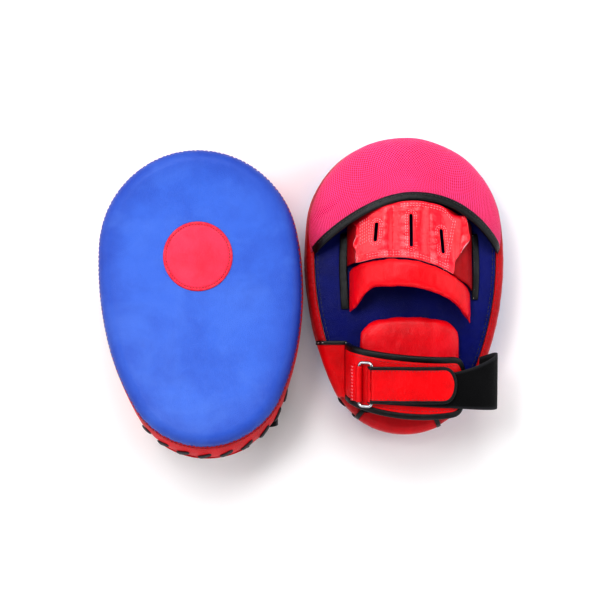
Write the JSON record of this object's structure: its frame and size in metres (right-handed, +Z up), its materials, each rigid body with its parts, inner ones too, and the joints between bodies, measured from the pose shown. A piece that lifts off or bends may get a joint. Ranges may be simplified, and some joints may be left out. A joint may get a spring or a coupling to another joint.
{
  "type": "boxing focus mitt pair",
  "caption": "Pair of curved padded focus mitts, one face up and one back up, with finger stall, knuckle roll, wrist cuff and ring-and-strap closure.",
  "frame": {"origin": "centre of the pair's bounding box, on the surface both mitts lie on", "axes": "+X across the pair toward the mitt that lies back up, +Y toward the fingertip ends, +Z up"},
  "size_m": [0.3898, 0.313, 0.1171],
  "materials": {
    "face_leather": "smooth grained blue leather",
    "side_leather": "smooth grained red leather",
    "back_leather": "grained dark blue leather",
    "patch_leather": "smooth red leather, stitched round its edge",
    "glove_leather": "soft pink-red leather",
    "mesh_fabric": "red spacer mesh with rows of round holes",
    "trim_tape": "black folded binding tape",
    "loop_fabric": "black loop-faced webbing",
    "hook_tape": "black hook tape",
    "foam": "dense closed-cell foam",
    "ring_steel": "polished nickel-plated steel wire",
    "waxed_cord": "black waxed cord"
  },
  "bodies": {
    "right_mitt": {"right_back_panel": "back_leather", "right_cuff": "side_leather", "right_cuff_base": "side_leather", "right_cuff_binding": "trim_tape", "right_cuff_padding": "foam", "right_edge_lacing": "waxed_cord", "right_finger_stall": "side_leather", "right_foam_core_front": "foam", "right_foam_core_rear": "foam", "right_glove_panel": "glove_leather", "right_gusset": "side_leather", "right_heel_patch": "side_leather", "right_heel_tapes": "trim_tape", "right_hood_binding": "trim_tape", "right_knuckle_roll_cover": "side_leather", "right_knuckle_roll_foam": "foam", "right_mesh_hood": "mesh_fabric", "right_ring_keeper": "side_leather", "right_stall_tapes": "trim_tape", "right_strap": "loop_fabric", "right_strike_face": "face_leather", "right_target_patch": "patch_leather", "right_wrist_pad_cover": "side_leather", "right_wrist_pad_foam": "foam"},
    "right_ring_body": {"right_ring": "ring_steel"},
    "right_tail_body": {"right_tail": "side_leather", "right_tail_binding": "trim_tape", "right_tail_hook": "hook_tape"},
    "left_mitt": {"left_back_panel": "back_leather", "left_cuff": "side_leather", "left_cuff_base": "side_leather", "left_cuff_binding": "trim_tape", "left_cuff_padding": "foam", "left_edge_lacing": "waxed_cord", "left_finger_stall": "side_leather", "left_foam_core_front": "foam", "left_foam_core_rear": "foam", "left_glove_panel": "glove_leather", "left_gusset": "side_leather", "left_heel_patch": "side_leather", "left_heel_tapes": "trim_tape", "left_hood_binding": "trim_tape", "left_knuckle_roll_cover": "side_leather", "left_knuckle_roll_foam": "foam", "left_mesh_hood": "mesh_fabric", "left_ring_keeper": "side_leather", "left_stall_tapes": "trim_tape", "left_strap": "loop_fabric", "left_strike_face": "face_leather", "left_target_patch": "patch_leather", "left_wrist_pad_cover": "side_leather", "left_wrist_pad_foam": "foam"},
    "left_ring_body": {"left_ring": "ring_steel"},
    "left_tail_body": {"left_tail": "side_leather", "left_tail_binding": "trim_tape", "left_tail_hook": "hook_tape"}
  },
  "joints": [
    {"name": "left_mitt_lift", "type": "slide", "parent": "right_mitt", "child": "left_mitt", "axis": [0, 0, 1], "range_m": [0, 0.15]},
    {"name": "right_ring_swing", "type": "hinge", "parent": "right_mitt", "child": "right_ring_body", "pos_m": [0.0524, -0.08554, 0.09894], "axis": [0, -0.9928, -0.1201], "range_deg": [0, 25]},
    {"name": "right_tail_peel", "type": "hinge", "parent": "right_ring_body", "child": "right_tail_body", "pos_m": [0.06379, -0.08629, 0.10517], "axis": [0, -0.9928, -0.1201], "range_deg": [0, 110]},
    {"name": "left_ring_swing", "type": "hinge", "parent": "left_mitt", "child": "left_ring_body", "pos_m": [-0.1359, -0.11304, 0.01646], "axis": [-0.0687, 0.9825, -0.173], "range_deg": [0, 25]},
    {"name": "left_tail_peel", "type": "hinge", "parent": "left_ring_body", "child": "left_tail_body", "pos_m": [-0.12447, -0.11333, 0.01029], "axis": [-0.0687, 0.9825, -0.173], "range_deg": [0, 110]}
  ]
}
